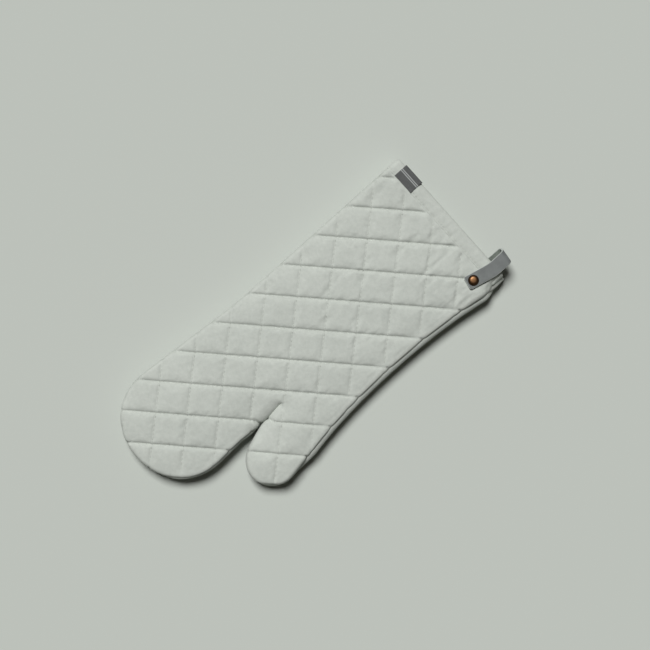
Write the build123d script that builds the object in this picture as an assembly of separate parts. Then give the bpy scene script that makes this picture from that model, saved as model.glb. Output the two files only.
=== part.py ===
from build123d import *
from math import asin, ceil, cos, floor, radians, sin, sqrt, tan
import os

# A quilted oven mitt that lies flat on its back panel, in millimetres. While it is built, the cuff's edge lies on
# Y = 0 with its middle at X = 0, the fingers point along +Y, the thumb is on -X and the front panel faces +Z.
# At the end everything is moved so that the origin is under the middle of the finished mitt.

# Outline, as the flat mitt is seen from above
mitt_length = 380.0        # from the cuff's edge to the fingertips
cuff_width = 160.6
hand_swell = 14.5          # how far the little finger's side has swung out at the fingertips
swell_start = 207.0        # where that side leaves the straight cuff
swell_radius = 400.0
finger_width = 119.3       # across the fingertips, measured between the side lines
finger_radius = 54.0
thumb_width = 52.0
thumb_tip = 284.2          # from the cuff to the middle of the thumb's round end
thumb_spread = 5.3         # from that round end to the side line of the fingers
thumb_tilt = 11.0          # degrees that the thumb leans away from the fingers
thumb_rounding = 0.995     # how nearly the thumb's end is a half circle
crotch = 243.0             # from the cuff to the end of the slit between thumb and fingers
slit_width = 3.2
slit_rounding = 0.46       # how nearly the slit ends in a half circle
waist = 140.0              # from the cuff to where the thumb's side is drawn in
waist_radius = 560.0

# Layers of a panel and the shape of its edge
panel_height = 12.5        # from the side seam to the crest of the quilting
cover_thickness = 0.8
wadding_thickness = 4.8
lining_thickness = 0.6
edge_radius = 8.0          # how the panel rolls over at its edge
edge_wall = 1.5            # the upright part of the edge, under that roll
seam_valley = 1.5          # how far the edge is drawn in at the side seam
resting_flat = 0.5         # how far the crests of the back are pressed flat by what the mitt lies on

# Quilting: two families of straight rows of stitches, each named by its direction and by one row's place
quilt_pitch = 30.4
quilt_depth = 2.2
quilt_crest = 14.0         # across the level top of each square of the cover
quilt_rows = {"rising": (43.7, (22.1, 177.9)), "falling": (131.3, (16.5, 147.8))}
thread_width = 0.6
thread_lift = 0.1          # how far a thread stands over the bottom of its groove
thread_inset = 9.0         # how far from the outline the rows end

# Tape folded over the cuff's edge, which squeezes the panel from both sides
tape_width = 13.2
tape_thickness = 0.9
outer_squeeze = 1.7
tape_stitch_inset = 1.8    # from the inner edge of the tape to its row of stitches
tape_stitch_width = 0.6
tape_stitch_height = 0.25

# Side seam
seam_thread_width = 0.6
seam_thread_height = 0.8
seam_gap = 0.05

# Woven label folded over the cuff's edge
label_width = 23.0
label_end = 0.2            # from its ends to the tape's inner edge
label_thickness = 0.6
label_inset = 10.8         # from the little finger's side of the cuff
label_stand = 0.5          # how far its fold stands off the tape
label_gap = 0.02

# Leather strap, folded into a hanging loop and held by one rivet
strap_width = 14.0
strap_thickness = 1.8
strap_tail = 7.0           # from the rivet to the cut ends
strap_reach = 39.7         # from the rivet to the outside of the fold
strap_turn = 6.3           # degrees that it has turned towards the thumb's side
strap_gap = 0.3            # between the strap and the cloth that it moves over
strap_corner = 1.2
rivet_inset = 24.2         # from the thumb's side of the cuff
rivet_rise = 24.1          # from the cuff's edge
rivet_post_radius = 2.0
rivet_cap_radius = 5.3
rivet_cap_height = 2.6
rivet_cap_rim = 0.7
rivet_cap_bands = 3        # the dome is drawn as conical bands with a level top
rivet_socket_depth = 1.3
rivet_foot_radius = 5.0
rivet_foot_height = 1.1
rivet_foot_edge = 0.3
rivet_seat_gap = 0.1
swivel_clearance = 0.05
socket_clearance = 0.02
cloth_hole_clearance = 0.3

# Values that follow from those above
lining_depth = cover_thickness + wadding_thickness
panel_thickness = lining_depth + lining_thickness
seam_level = panel_height - resting_flat
crest_level = seam_level + panel_height
inside_level = crest_level - panel_thickness
bevel_cut = 2 - sqrt(2)    # a round edge of radius 1 is drawn as three flats: the middle one cuts this much
bevel_blend = sqrt(2) - 1 - tan(radians(11.25))    # and the other two this much, on both sides of its edges
seam_flank = panel_height - edge_wall - (bevel_cut + bevel_blend) * edge_radius
rivet_place = (rivet_inset - cuff_width / 2, rivet_rise)
label_place = cuff_width / 2 - label_inset - label_width / 2
label_reach = tape_width - label_end
run_out = 3 * tape_width   # how far the outline runs on past the cuff before it is cut
far = 2 * mitt_length      # reaches past the mitt on every side
edge_find = 0.01           # edges this near to a height are at it


def mitt_face(inset):
    # The outline of the flat mitt, run on past the cuff, and drawn in by the inset
    lean = radians(thumb_tilt)
    along = Vector(-sin(lean), cos(lean))
    across = Vector(cos(lean), sin(lean))
    thumb_radius = thumb_width / 2
    little_side = cuff_width / 2 + hand_swell
    index_side = little_side - finger_width
    tip = Vector(index_side - thumb_spread - thumb_radius, thumb_tip)
    inner_side = tip + across * thumb_radius
    outer_side = tip - across * thumb_radius
    slit_side = inner_side.X + (inner_side.Y - crotch) * tan(lean)
    waist_side = outer_side.X + (outer_side.Y - waist) * tan(lean)
    cuff_flare = (cuff_width / 2 + waist_side) / waist * run_out
    slit_radius = slit_rounding * slit_width
    start = (cuff_width / 2, -run_out)
    end = (-cuff_width / 2 - cuff_flare, -run_out)
    corners = [
        ((cuff_width / 2, swell_start), swell_radius),
        ((little_side, mitt_length), finger_radius),
        ((index_side, mitt_length), finger_radius),
        ((slit_side + slit_width, crotch), slit_radius),
        ((slit_side, crotch), slit_radius),
        (inner_side + along * thumb_radius, thumb_rounding * thumb_radius),
        (outer_side + along * thumb_radius, thumb_rounding * thumb_radius),
        ((waist_side, waist), waist_radius),
    ]
    points = [start] + [corner for corner, radius in corners] + [end]
    edge = FilletPolyline(*points, radius=[radius for corner, radius in corners])
    face = make_face(edge + Line(end, start))
    return offset(face, amount=-inset) if inset else face


def beyond(y):
    # Everything on the fingers' side of a line across the mitt
    return Pos(0, y + far / 2, 0) * Box(2 * far, far, far)


def within(y_low, y_high):
    # Everything between two lines across the mitt
    return Pos(0, (y_low + y_high) / 2, 0) * Box(2 * far, y_high - y_low, far)


def above(z):
    return Pos(0, 0, z + far / 2) * Box(2 * far, 2 * far, far)


def envelope(inset):
    # The filled front half of the mitt, out to a surface that lies under the cover's crest by the inset. Its edge is
    # cut off, apart from the surfaces inside the wadding.
    crest = crest_level - inset
    body = Pos(0, 0, seam_level) * extrude(mitt_face(inset), crest - seam_level)
    if inset >= lining_depth - tape_thickness:
        return body
    return chamfer(level_edges(body, crest), bevel_cut * (edge_radius - inset))


def cover_outside():
    # The outside without its quilting: the edge gets rounder, and is drawn in at the side seam
    body = envelope(0)
    both_sides = level_edges(body, crest_level) + level_edges(body, crest_level - bevel_cut * edge_radius)
    body = chamfer(both_sides, bevel_blend * edge_radius)
    bottom = body.faces().sort_by(Axis.Z)[0]
    return chamfer(level_edges(body, seam_level), seam_valley, seam_flank, reference=bottom)


def wadding_outside():
    # The wadding ends inside the seam, where the cover is turned in
    crest = crest_level - cover_thickness
    body = Pos(0, 0, seam_level) * extrude(mitt_face(seam_valley + cover_thickness), crest - seam_level)
    return chamfer(level_edges(body, crest), edge_radius / 2)


def level_edges(body, level):
    # The edges at one height, without the straight one that is cut off with the cuff
    edges = body.edges().filter_by_position(Axis.Z, level - edge_find, level + edge_find)
    return [edge for edge in edges if edge.center().Y > -run_out / 2]


def row_frame(family):
    # A plane square to a family of rows: its X runs across the rows and its Y is up
    angle, place = quilt_rows[family]
    turn = radians(angle)
    return Plane(origin=(place[0], place[1], 0), x_dir=(-sin(turn), cos(turn), 0), z_dir=(cos(turn), sin(turn), 0))


def row_range(family):
    # The numbers of the rows that cross the outline, counted from the named one
    plane = row_frame(family)
    box = mitt_face(0).bounding_box()
    corners = [Vector(x, y, 0) for x in (box.min.X, box.max.X) for y in (box.min.Y, box.max.Y)]
    reach = [plane.to_local_coords(corner).X for corner in corners]
    return range(floor(min(reach) / quilt_pitch), ceil(max(reach) / quilt_pitch) + 1)


def ridges(family, inset, crest_width):
    # A block with a ridge between each two rows, level on top or, with no crest width, sharp
    rows = row_range(family)
    crest = crest_level - inset
    groove = crest - quilt_depth
    profile = []
    for row in rows[:-1]:
        left = row * quilt_pitch
        middle = left + quilt_pitch / 2
        sides = {middle - crest_width / 2, middle + crest_width / 2}
        profile += [(left, groove)] + [(side, crest) for side in sorted(sides)]
    first = rows[0] * quilt_pitch
    last = rows[-1] * quilt_pitch
    floor_level = seam_level - panel_height
    profile += [(last, groove), (last, floor_level), (first, floor_level)]
    return extrude(row_frame(family) * make_face(Polyline(*profile, close=True)), far, both=True)


def quilted(body, inset, crest_width):
    for family in quilt_rows:
        body = body & ridges(family, inset, crest_width)
    return body


def squeezed(body, squeezed_body, step):
    # A body that takes another, squeezed shape under the tape, up to the step
    return (body & beyond(step)) + (squeezed_body & within(0, step))


def layer_bodies():
    # Filled bodies, from the outside of the cover to the inside of the lining: a layer is what lies between two
    inner_squeeze = tape_thickness
    cover = squeezed(quilted(cover_outside(), 0, quilt_crest), envelope(outer_squeeze), tape_width)
    wadding = squeezed(
        quilted(wadding_outside(), cover_thickness, 0),
        envelope(outer_squeeze + cover_thickness),
        tape_width + cover_thickness,
    )
    lining = squeezed(envelope(lining_depth), envelope(lining_depth - inner_squeeze), tape_width)
    hollow = squeezed(
        envelope(panel_thickness),
        envelope(panel_thickness - inner_squeeze),
        tape_width - lining_thickness,
    )
    return [cover, wadding, lining, hollow]


def seam_mirror(body):
    return mirror(body, about=Plane.XY.offset(seam_level))


def rivet_hole(radius):
    return Pos(*rivet_place, crest_level) * Cylinder(radius, 4 * panel_height)


def panels():
    # The three layers of each panel; the back is the mirror of the front, pressed flat where it lies
    names = ["cover", "wadding", "lining"]
    pressed = [above(0), above(cover_thickness)]
    front = layer_bodies()
    back = [seam_mirror(body) for body in front]
    back = [body & press for body, press in zip(back, pressed)] + back[2:]
    nodes = {}
    for name, outer, inner in zip(names, front, front[1:]):
        nodes[f"front_{name}"] = outer - inner - rivet_hole(rivet_post_radius + cloth_hole_clearance)
    for name, outer, inner in zip(names, back, back[1:]):
        nodes[f"back_{name}"] = outer - inner
    return nodes


def tube(outer_inset, inner_inset):
    # The wall between two surfaces, all round both halves of the cuff
    wall = envelope(outer_inset) - envelope(inner_inset)
    return wall + seam_mirror(wall)


def tape_nodes():
    # The tape is folded round the squeezed end of the panels, with a row of stitches on its outside
    tape_outside = outer_squeeze - tape_thickness
    fold = tube(tape_outside, panel_thickness) & within(-tape_thickness, tape_width - lining_thickness)
    held = tube(outer_squeeze, panel_thickness - tape_thickness) & beyond(0)
    outer_strip = tube(tape_outside, outer_squeeze) & within(0, tape_width)
    row = tape_width - tape_stitch_inset
    stitches = tube(tape_outside - tape_stitch_height, tape_outside)
    stitches = stitches & within(row - tape_stitch_width, row)
    under_label = Pos(label_place, 0, crest_level) * Box(label_width + 2 * label_stand, far, panel_height)
    return {"cuff_binding": fold - held + outer_strip, "binding_thread": stitches - under_label}


def quilting_thread():
    # One straight thread in each groove of the front; the second family lies on the first where they cross
    bounds = extrude(mitt_face(thread_inset), far) & beyond(tape_width)
    bounds -= rivet_hole(rivet_post_radius + cloth_hole_clearance)
    groove = crest_level - quilt_depth + thread_lift
    threads = []
    for layer, family in enumerate(quilt_rows):
        level = groove + (layer + 0.5) * thread_width
        for row in row_range(family):
            bar = row_frame(family) * (Pos(row * quilt_pitch, level, 0) * Box(thread_width, thread_width, far))
            threads += (bar & bounds).solids()
    return Compound(threads)


def seam_thread():
    # A thread in the valley between the two rolled edges, close to both
    inner_side = seam_valley * (1 - seam_thread_height / 2 / seam_flank) - seam_gap
    ring = mitt_face(inner_side - seam_thread_width) - mitt_face(inner_side)
    thread = Pos(0, 0, seam_level) * extrude(ring, seam_thread_height / 2, both=True)
    return thread & beyond(tape_width + cover_thickness)


def folded_strip(outside_top, outside_bottom, thickness, tail, fold, width):
    # A strip folded in half round its own end: its legs run along X from the tail to the round fold
    height = outside_top - outside_bottom
    middle = (outside_top + outside_bottom) / 2
    radius = height / 2
    legs = Pos((tail + fold - radius) / 2, middle) * Rectangle(fold - radius - tail, height)
    outside = legs + Pos(fold - radius, middle) * Circle(radius)
    slot = Pos((tail + fold - radius) / 2, middle) * Rectangle(fold - radius - tail, height - 2 * thickness)
    inside = slot + Pos(fold - radius, middle) * Circle(radius - thickness)
    return extrude(Plane.XZ * (outside - inside), width / 2, both=True)


def strap_body():
    # The strap points away from the fingers and has turned a little on its rivet
    top = crest_level + strap_gap + strap_thickness
    bottom = inside_level - strap_gap - strap_thickness
    strap = folded_strip(top, bottom, strap_thickness, -strap_tail, strap_reach, strap_width)
    cut_corners = strap.edges().filter_by(Axis.Z).group_by(Axis.X)[0]
    strap = chamfer(cut_corners, strap_corner)
    placed = Pos(*rivet_place, 0) * Rot(0, 0, -90 - strap_turn) * strap
    return placed - rivet_hole(rivet_post_radius + swivel_clearance)


def rivet_nodes():
    # A foot with a post through strap and panel, and a domed cap pressed on the post
    cap_level = crest_level + strap_gap + strap_thickness + rivet_seat_gap
    foot_level = inside_level - strap_gap - strap_thickness - rivet_seat_gap
    dome = rivet_cap_height - rivet_cap_rim
    dome_radius = (rivet_cap_radius ** 2 + dome ** 2) / (2 * dome)
    band = asin(rivet_cap_radius / dome_radius) / rivet_cap_bands
    slopes = [band * step for step in range(rivet_cap_bands, 0, -1)]
    dome_line = [(dome_radius * sin(a), rivet_cap_height - dome_radius * (1 - cos(a))) for a in slopes]
    profile = Polyline((0, 0), (rivet_cap_radius, 0), *dome_line, (0, dome_line[-1][1]), close=True)
    cap = revolve(Plane.XZ * make_face(profile), Axis.Z)
    socket = Pos(0, 0, rivet_socket_depth / 2) * Cylinder(rivet_post_radius + socket_clearance, rivet_socket_depth)
    foot = Pos(0, 0, foot_level - rivet_foot_height / 2) * Cylinder(rivet_foot_radius, rivet_foot_height)
    foot = chamfer(foot.edges().sort_by(Axis.Z)[0], rivet_foot_edge)
    post_top = cap_level + rivet_socket_depth - socket_clearance
    post = Pos(0, 0, (foot_level + post_top) / 2) * Cylinder(rivet_post_radius, post_top - foot_level)
    return {
        "rivet_cap": Pos(*rivet_place, cap_level) * (cap - socket),
        "rivet_base": Pos(*rivet_place, 0) * (foot + post),
    }


def label_body():
    # The label is folded over the tape, with one leg on the front and the other inside the cuff
    top = crest_level - outer_squeeze + tape_thickness + label_gap + label_thickness
    bottom = inside_level - label_gap - label_thickness
    fold = tape_thickness + label_stand + (top - bottom) / 2
    label = folded_strip(top, bottom, label_thickness, -label_reach, fold, label_width)
    return Pos(label_place, 0, 0) * Rot(0, 0, -90) * label


nodes = panels()
nodes |= tape_nodes()
nodes["front_quilting_thread"] = quilting_thread()
nodes["back_quilting_thread"] = seam_mirror(nodes["front_quilting_thread"])
nodes["side_seam_thread"] = seam_thread()
nodes["woven_label"] = label_body()
nodes["hanging_loop"] = strap_body()
nodes |= rivet_nodes()

box = Compound([solid for shape in nodes.values() for solid in shape.solids()]).bounding_box()
middle = Vector((box.min.X + box.max.X) / 2, (box.min.Y + box.max.Y) / 2, 0)
os.makedirs("parts", exist_ok=True)
for name, shape in nodes.items():
    export_step(Pos(-middle.X, -middle.Y, 0) * shape, f"parts/{name}.step")
print("cuff middle in the finished frame", round(-middle.X, 3), round(-middle.Y, 3))
print("size", [round(side, 2) for side in box.size])
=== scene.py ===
import bmesh
import bpy
from math import acos, cos, exp, pi, radians, sin, sqrt, tan
from mathutils import Matrix, Vector, geometry, noise
from mathutils.bvhtree import BVHTree


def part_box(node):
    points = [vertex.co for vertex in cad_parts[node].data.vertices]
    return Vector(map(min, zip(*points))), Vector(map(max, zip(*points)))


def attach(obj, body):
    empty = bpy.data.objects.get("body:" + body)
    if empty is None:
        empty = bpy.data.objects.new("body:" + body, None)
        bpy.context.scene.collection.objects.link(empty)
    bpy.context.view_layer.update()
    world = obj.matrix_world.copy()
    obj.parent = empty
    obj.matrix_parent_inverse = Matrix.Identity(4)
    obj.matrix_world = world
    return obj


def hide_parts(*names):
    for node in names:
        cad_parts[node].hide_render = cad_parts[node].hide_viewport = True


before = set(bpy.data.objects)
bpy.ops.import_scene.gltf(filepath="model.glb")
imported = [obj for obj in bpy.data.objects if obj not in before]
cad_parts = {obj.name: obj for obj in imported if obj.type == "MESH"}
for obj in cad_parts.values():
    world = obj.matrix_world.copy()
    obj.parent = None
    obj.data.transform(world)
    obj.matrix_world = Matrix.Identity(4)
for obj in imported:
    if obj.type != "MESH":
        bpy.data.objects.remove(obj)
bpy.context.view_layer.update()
mm = 0.001
up = Vector((0, 0, 1))

# outline of the flat mitt in mm, from the middle of the cuff's edge: corner, and the radius that rounds it
outline = {
    "length": 380.0,
    "labelMiddle": 58.0,     # where the label is on the cuff
    "runOut": 40.0,          # the sides run on past the cuff, and are cut there
    "ribbon": 20.0,          # how high the ribbon along the sides is
    "arcSteps": 16,
    "corners": [
        (80.3, -40.0, 0.0),
        (80.3, 207.0, 400.0),
        (94.8, 380.0, 54.0),
        (-25.7, 380.0, 54.0),
        (-19.2, 243.0, 1.47),
        (-22.4, 243.0, 1.47),
        (-35.2, 314.7, 25.87),
        (-86.3, 304.8, 25.87),
        (-54.2, 140.0, 560.0),
        (-87.7, -40.0, 0.0),
    ],
}
# how the sewn mitt lies, in mm; the pairs for a height, a width, across and along are where a change starts
# and where it is full
lying = {
    "backShift": 4.8,        # how far the back shows past the front on the thumb's side
    "handShift": 1.8,        # and along the hand there
    "backHeight": (0.5, -2.5),
    "seamLift": 7.0,         # how far the seam has turned up there
    "liftHeight": 10.0,      # the part of the front that gives way to it
    "liftWidth": (24.0, 2.0),
    "facing": (0.3, 0.8),    # how squarely an edge faces the thumb's side
    "thumbAcross": (-28.0, -50.0),
    "thumbAlong": (285.0, 245.0),
    "handAcross": (-34.0, -26.0),
    "handAlong": (265.0, 290.0),
    "drawn": (4.0, 2.2),     # how far the cuff's corner is drawn in
    "droop": 11.0,           # and how far its upper side sinks
    "droopHeight": (-12.5, 8.0),
    "cornerAcross": (-70.0, -80.0),
    "cornerAlong": (30.0, 4.0),
    "outerStart": 5.0,       # its outer layers give way this much sooner than the inner ones, by the strap
    "outerHeight": (8.0, 12.0),
}

coverLow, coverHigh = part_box("front_cover")
labelLow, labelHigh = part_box("woven_label")
capLow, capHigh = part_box("rivet_cap")
strapLow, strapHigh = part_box("hanging_loop")
labelX = (labelLow.x + labelHigh.x) / 2
cuff = Vector((labelX - outline["labelMiddle"] * mm, coverHigh.y - outline["length"] * mm, 0))
rivet = Vector(((capLow.x + capHigh.x) / 2, (capLow.y + capHigh.y) / 2, capLow.z))
seamZ = coverLow.z
crestZ = coverHigh.z


def place(x, y, z=0.0):
    return Vector((cuff.x + x * mm, cuff.y + y * mm, z * mm))


def smoothStep(low, high, value):
    share = min(max((value - low) / (high - low), 0.0), 1.0)
    return share * share * (3 - 2 * share)


def besideThumb(inward, distance):
    # 1 at an edge that faces the thumb's side, and 0 away from it; in mm
    return smoothStep(*lying["facing"], inward.x) * smoothStep(*lying["liftWidth"], distance)


def lie(point):
    # on the thumb's side the back is pushed out under the front,
    # and the cuff's corner there is drawn in and droops
    x = (point.x - cuff.x) / mm
    y = (point.y - cuff.y) / mm
    z = (point.z - seamZ) / mm
    inward, distance = edgeOf(Vector((point.x, point.y, 0)))[1:]
    below = smoothStep(*lying["backHeight"], z)
    start, full = lying["cornerAcross"]
    start += lying["outerStart"] * smoothStep(*lying["outerHeight"], z)
    corner = smoothStep(start, full, x) * smoothStep(*lying["cornerAlong"], y)
    thumbSide = smoothStep(*lying["thumbAcross"], x) * smoothStep(*lying["thumbAlong"], y) * (1 - corner)
    handSide = smoothStep(*lying["handAcross"], x) * smoothStep(*lying["handAlong"], y)
    facing = besideThumb(inward, distance / mm)
    part = z / lying["liftHeight"]
    lift = lying["seamLift"] * facing * max(thumbSide, handSide)
    lift *= max(1 - part if z > 0 else 1 - part * part, 0.0)
    shift = Vector((
        lying["drawn"][0] * corner - lying["backShift"] * below * thumbSide,
        lying["drawn"][1] * corner,
        lift - lying["droop"] * smoothStep(*lying["droopHeight"], z) * corner,
    ))
    shift -= inward * lying["handShift"] * below * facing * handSide
    return point + shift * mm


def makePiece(name, bm, material, body):
    mesh = bpy.data.meshes.new(name)
    bm.to_mesh(mesh)
    bm.free()
    for face in mesh.polygons:
        face.use_smooth = True
    piece = bpy.data.objects.new(name, mesh)
    bpy.context.scene.collection.objects.link(piece)
    mesh.materials.append(material)
    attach(piece, body)
    return piece


def thicken(piece, thickness, offset):
    modifier = piece.modifiers.new("thickness", "SOLIDIFY")
    modifier.thickness = thickness * mm
    modifier.offset = offset
    return modifier


class Wire:
    # a shader socket that can be reckoned with
    def __init__(self, tree, socket=None):
        self.tree = tree
        self.socket = socket

    def node(self, kind, settings=None, inputs=None, output=0):
        made = self.tree.nodes.new("ShaderNode" + kind)
        for key, value in (settings or {}).items():
            setattr(made, key, value)
        for key, value in (inputs or {}).items():
            if isinstance(value, Wire):
                self.tree.links.new(value.socket, made.inputs[key])
            else:
                made.inputs[key].default_value = value
        return Wire(self.tree, made.outputs[output] if made.outputs else None)

    def math(self, operation, first, second=0.0):
        return self.node("Math", {"operation": operation}, {0: first, 1: second})

    def __add__(self, other):
        return self.math("ADD", self, other)

    def __radd__(self, other):
        return self.math("ADD", other, self)

    def __sub__(self, other):
        return self.math("SUBTRACT", self, other)

    def __rsub__(self, other):
        return self.math("SUBTRACT", other, self)

    def __mul__(self, other):
        return self.math("MULTIPLY", self, other)

    def __rmul__(self, other):
        return self.math("MULTIPLY", other, self)


def newMaterial(name):
    material = bpy.data.materials.new(name)
    material.use_nodes = True
    tree = material.node_tree
    tree.nodes.clear()
    return material, Wire(tree)


def mixColour(wire, factor, first, second):
    return wire.node("Mix", {"data_type": "RGBA"}, {0: factor, 6: first, 7: second}, 2)


def spread(wire, value, low, high):
    # from low to high becomes 0 to 1
    return wire.node("MapRange", None, {0: value, 1: low, 2: high, 3: 0.0, 4: 1.0})


def finishMaterial(wire, inputs):
    shader = wire.node("BsdfPrincipled", None, inputs)
    wire.node("OutputMaterial", None, {"Surface": shader})


def objectCoords(wire):
    return wire.node("TexCoord", None, None, 3)


def axes(wire, coords, turn=0.0, middle=(0.0, 0.0, 0.0)):
    # x, y and z from the middle, turned about the upright
    back = wire.node("VectorMath", {"operation": "SUBTRACT"}, {0: coords, 1: middle})
    turned = wire.node("Mapping", None, {"Vector": back, "Rotation": (0, 0, radians(turn))})
    return [wire.node("SeparateXYZ", None, {0: turned}, n) for n in range(3)]


def fuzz(wire, coords, scale, detail, rough):
    sockets = {"Vector": coords, "Scale": scale, "Detail": detail, "Roughness": rough}
    return wire.node("TexNoise", None, sockets)


def bumped(wire, strength, height):
    return wire.node("Bump", None, {"Strength": strength, "Distance": 1.0, "Height": height})


def weaveHeight(wire, parts, yarn):
    # plain weave: the two sets of yarns pass over and under each other
    warp = wire.math("SINE", parts[0] * (pi / yarn))
    weft = wire.math("SINE", parts[1] * (pi / yarn))
    return warp * weft * 0.5 + 0.5


def clothMaterial(name, look):
    material, wire = newMaterial(name)
    coords = objectCoords(wire)
    weave = weaveHeight(wire, axes(wire, coords, look["turn"]), look["yarn"])
    slub = fuzz(wire, coords, look["slubScale"], 3.0, 0.6)
    cloud = fuzz(wire, coords, look["cloudScale"], 2.0, 0.5)
    fleck = fuzz(wire, coords, look["fleckScale"], 1.0, 0.5)
    tint = spread(wire, slub * 0.5 + cloud * 0.3 + fleck * 0.2, 0.3, 0.7)
    height = weave * look["weaveLift"] + slub * look["slubLift"] + fleck * look["fleckLift"]
    finishMaterial(wire, {
        "Base Color": mixColour(wire, tint, look["dark"], look["light"]),
        "Roughness": look["roughness"],
        "Sheen Weight": look["sheen"],
        "Sheen Roughness": 0.5,
        "Specular IOR Level": 0.2,
        "Normal": bumped(wire, look["bump"], height),
    })
    return material


coverLook = {
    "turn": 0.0,
    "yarn": 0.0006,
    "slubScale": 260.0,
    "cloudScale": 28.0,
    "fleckScale": 900.0,
    "dark": (0.440, 0.468, 0.430, 1),
    "light": (0.545, 0.575, 0.530, 1),
    "weaveLift": 0.00012,
    "slubLift": 0.0003,
    "fleckLift": 0.00012,
    "bump": 0.6,
    "roughness": 0.92,
    "sheen": 0.12,
}
liningLook = {**coverLook, "dark": (0.43, 0.45, 0.41, 1), "light": (0.53, 0.55, 0.51, 1)}
tapeLook = {**coverLook, "turn": 45.0, "slubLift": 0.00015}
threadLook = {**coverLook, "dark": (0.46, 0.48, 0.44, 1), "light": (0.57, 0.595, 0.55, 1)}
coverCotton = clothMaterial("coverCotton", coverLook)
liningCotton = clothMaterial("liningCotton", liningLook)
bindingTape = clothMaterial("bindingTape", tapeLook)
sewingThread = clothMaterial("sewingThread", threadLook)


def outlineLoop(bm):
    # the outline as one face; its corners are rounded one by one
    corners = outline["corners"]
    loop = [bm.verts.new(place(x, y)) for x, y, radius in corners]
    bm.faces.new(loop)
    ends = [Vector(corner) for corner in corners]
    for vert, before, at, after in zip(loop[1:-1], ends, ends[1:], ends[2:]):
        turn = (at.xy - before.xy).angle(after.xy - at.xy)
        bmesh.ops.bevel(
            bm, geom=[vert], affect="VERTICES", offset=at.z * mm * tan(turn / 2), offset_type="OFFSET",
            segments=outline["arcSteps"], profile=0.5, material=-1, clamp_overlap=False)
    return bm.faces[:][0]


def sideTree():
    # the mitt's sides as an upright ribbon, to measure how far a point is from them
    bm = bmesh.new()
    outlineLoop(bm)
    far = cuff.y - (outline["runOut"] - 1) * mm
    sides = [edge for edge in bm.edges if max(vert.co.y for vert in edge.verts) > far]
    flat = bm.faces[:]
    height = outline["ribbon"] * mm
    wall = bmesh.ops.extrude_edge_only(bm, edges=sides)["geom"]
    bmesh.ops.translate(bm, vec=up * height, verts=[v for v in wall if isinstance(v, bmesh.types.BMVert)])
    bmesh.ops.delete(bm, geom=flat, context="FACES_ONLY")
    bmesh.ops.translate(bm, vec=up * (-height / 2), verts=bm.verts)
    tree = BVHTree.FromBMesh(bm)
    bm.free()
    return tree


quilt = {
    "pitch": 30.4,
    "rising": 43.7,
    "risingThrough": (20.0, 179.8),
    "falling": 131.3,
    "fallingThrough": (16.5, 147.8),
    "cells": 8,              # squares from the named crossing to the edge of the grid
    "steps": 28,             # grid steps across a square
    "stitchSteps": 4,        # grid steps from needle hole to needle hole
    "rings": (4.6, 3.4, 2.4, 1.6, 0.9, 0.4, 0.0),  # rings of points between the grid and the outline
    "heldRim": 1.7,          # the rings this near to the outline don't puff up
    "risingCrease": 2.7,     # how deep the rows are drawn in
    "fallingCrease": 0.9,
    "creaseWidth": 1.1,
    "edgeCrease": 0.5,       # how much deeper at the front's edge on the thumb's side
    "cuffEnd": (12.5, 17.5),  # where the rows run out near the tape, from the cuff
    "frontEnd": (0.3, 2.5),  # and near the seam, from the outline
    "backEnd": (0.3, 10.0),
    "dome": 0.3,             # how far the middle of a square stands over its rows
    "hole": 0.3,             # how much deeper the needle holes are
}
panel = {
    "roll": 3.0,             # how wide the rolled edge is
    "slitRoll": 4.5,         # and along the slit
    "rollMiddle": 2.2,       # its widest place, above the seam
    "edgeDrop": 3.2,         # how much thinner the panel gets towards its edge
    "dropWidth": 50.0,
    "dropFull": 64.0,        # it starts at the tape and is full this far from the cuff
    "dropInside": 0.8,       # the share of it that the inside takes part in
    "seamValley": 1.5,
    "insideEdge": 5.6,       # where the inside starts, from the outline
    "insideAcross": (0.0, 2.5),
    "insideRise": (2.0, 6.0),
    "inside": 6.9,           # how far the inside is above the seam
    "squeeze": 1.1,          # how far the tape presses the cover in
    "tape": 12.8,
    "pastTape": 13.8,        # where cloth and stitches are clear of the tape
    "relax": 14.2,           # where the cover is back at its full height, from the cuff
    "pinch": 3.0,            # cover and inside meet at the cuff's edge, over this length
    "slit": 3.0,             # the sides of the slit bulge this far to meet each other
    "slitOpen": 1.7,         # half the slit's width where they no longer do, in shares of that
    "slitPress": 1.0,        # how far they press into each other
    "slitClosed": (0.7, 1.3),  # and where that fades, in the same shares
    "slitSpare": 1.2,        # a point belongs to the slit up to this share of its half width
    "slitGrip": (0.0, 0.3),  # the part of the roll, from the seam, over which the bulge starts
    "slitAside": (16.0, 9.0),
    "slitStart": (232.0, 241.0),
    "slitEnd": (300.0, 275.0),
    "press": 0.3,            # how far the strap presses the cover in, round the rivet
    "pressed": (30.0, 7.0),
    "wrinkle": 0.8,          # soft folds along the mitt
    "wrinkleSize": (6.0, 26.0),
    "wrinklePatch": 38.0,
    "wrinkleEdge": (2.0, 8.0),
    "wrinkled": (230.0, 40.0),
    "pucker": 0.7,           # the share of slanting folds
    "calm": 0.25,            # what is left of them between the patches
    "farFolds": 0.45,        # and far from the cuff
}


def direction(degrees):
    return Vector((cos(radians(degrees)), sin(radians(degrees)), 0))


def latticeMatrix():
    # from squares counted from the named crossing, along the two rows, to metres
    rise = direction(quilt["rising"])
    fall = direction(quilt["falling"])
    one = place(*quilt["risingThrough"])
    two = place(*quilt["fallingThrough"])
    crossing = geometry.intersect_line_line(one, one + rise, two, two + fall)[0]
    span = quilt["pitch"] * mm / sin(rise.angle(fall))
    matrix = Matrix.Translation(crossing)
    matrix.col[0].xyz = rise * span
    matrix.col[1].xyz = fall * span
    return matrix


tree = sideTree()
palm = place(0, 150)
palmSide = tree.find_nearest(palm)
inwardSign = 1 if (palm - palmSide[0]).dot(palmSide[1]) > 0 else -1


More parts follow.
